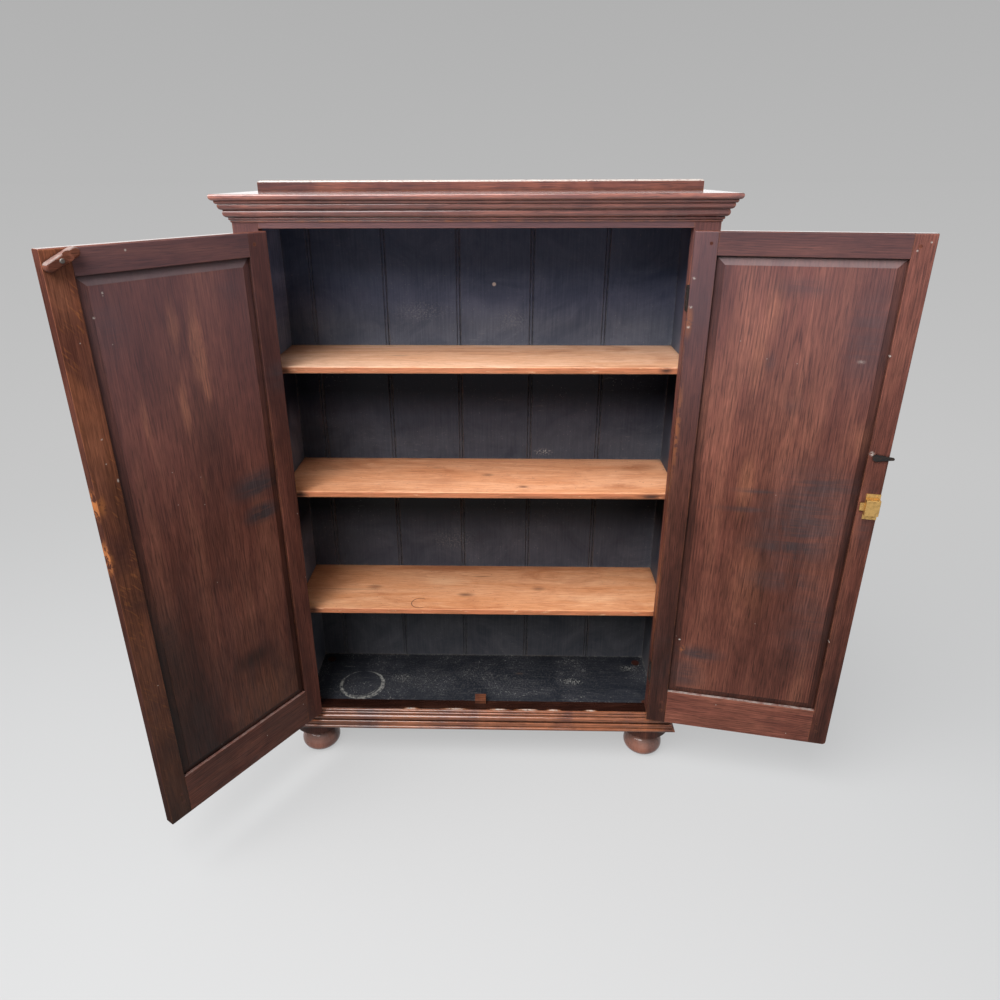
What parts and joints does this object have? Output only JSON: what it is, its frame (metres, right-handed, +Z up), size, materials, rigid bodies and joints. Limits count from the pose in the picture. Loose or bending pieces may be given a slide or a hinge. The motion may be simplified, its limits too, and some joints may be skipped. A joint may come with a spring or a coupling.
{
  "type": "kas cupboard",
  "caption": "Low free-standing oak cupboard with panelled doors on butt hinges, pine shelves, boarded back, reeded cornice and base mouldings and turned bun feet.",
  "frame": {"origin": "on the floor, at the middle of the carcase's footprint", "axes": "+Z up, the doors are on the -Y side, +X to the right as seen from the front"},
  "size_m": [1.5911, 0.6893, 1.496],
  "materials": {
    "oak_frame": "dark red-brown stained oak, waxed",
    "oak_panel": "dark stained fielded oak, waxed",
    "oak_side": "stained oak outside, black paint inside",
    "oak_moulding": "reeded and polished dark oak",
    "turned_foot": "turned and polished oak",
    "oak_peg": "split oak pegs, stained",
    "small_oak": "whittled oak, hand worn",
    "pine_shelf": "oiled bare pine",
    "black_painted_board": "thin black paint on pine boards",
    "brass": "aged satin brass",
    "black_iron": "blackened forged iron",
    "steel_screw": "dull steel"
  },
  "bodies": {
    "carcase": {"back_board_1": "black_painted_board", "back_board_2": "black_painted_board", "back_board_3": "black_painted_board", "back_board_4": "black_painted_board", "back_board_5": "black_painted_board", "back_board_6": "black_painted_board", "base_moulding_front": "oak_moulding", "base_moulding_left": "oak_moulding", "base_moulding_right": "oak_moulding", "corner_blocks": "black_painted_board", "cornice_front": "oak_moulding", "cornice_left": "oak_moulding", "cornice_right": "oak_moulding", "door_stop_block": "small_oak", "floor_board": "black_painted_board", "foot_back_left": "turned_foot", "foot_back_right": "turned_foot", "foot_front_left": "turned_foot", "foot_front_right": "turned_foot", "frame_bottom_rail": "oak_frame", "frame_head_rail": "oak_frame", "frame_stile_left": "oak_frame", "frame_stile_right": "oak_frame", "left_door_hinge_frame_leaves": "black_iron", "left_door_hinge_pins": "black_iron", "right_door_hinge_frame_leaves": "black_iron", "right_door_hinge_pins": "black_iron", "shelf_bearers_left": "black_painted_board", "shelf_bearers_right": "black_painted_board", "shelf_lower": "pine_shelf", "shelf_middle": "pine_shelf", "shelf_upper": "pine_shelf", "side_left": "oak_side", "side_right": "oak_side", "top_board": "oak_moulding", "top_upstand": "oak_moulding"},
    "left_door": {"left_door_bottom_rail": "oak_frame", "left_door_hinge_door_leaves": "black_iron", "left_door_hinge_stile": "oak_frame", "left_door_meeting_stile": "oak_frame", "left_door_panel": "oak_panel", "left_door_pegs": "oak_peg", "left_door_top_rail": "oak_frame", "turn_button_screw": "steel_screw"},
    "right_door": {"right_door_bottom_rail": "oak_frame", "right_door_hinge_door_leaves": "black_iron", "right_door_hinge_stile": "oak_frame", "right_door_meeting_stile": "oak_frame", "right_door_panel": "oak_panel", "right_door_pegs": "oak_peg", "right_door_top_rail": "oak_frame", "lock_case": "brass", "lock_escutcheon": "brass"},
    "turn_button": {"turn_button": "small_oak"},
    "latch": {"latch_tongue": "black_iron", "latch_knob": "black_iron"},
    "lock_bolt": {"lock_bolt": "brass"}
  },
  "joints": [
    {"name": "left_door_hinge", "type": "hinge", "parent": "carcase", "child": "left_door", "pos_m": [-0.45, -0.14, 0.78], "axis": [0, 0, -1], "range_deg": [-123.9, 51.1]},
    {"name": "right_door_hinge", "type": "hinge", "parent": "carcase", "child": "right_door", "pos_m": [0.45, -0.14, 0.78], "axis": [0, 0, 1], "range_deg": [-169.3, 5.7]},
    {"name": "turn_button_pivot", "type": "hinge", "parent": "left_door", "child": "turn_button", "pos_m": [-0.66296, -0.50532, 1.382], "axis": [0.83, -0.5577, 0], "continuous": true},
    {"name": "latch_turn", "type": "hinge", "parent": "right_door", "child": "latch", "pos_m": [0.86423, -0.22336, 0.944], "axis": [-0.1857, -0.9826, 0], "range_deg": [0, 90]},
    {"name": "lock_bolt_slide", "type": "slide", "parent": "right_door", "child": "lock_bolt", "axis": [0.9826, -0.1857, 0], "range_m": [0, 0.012]}
  ]
}
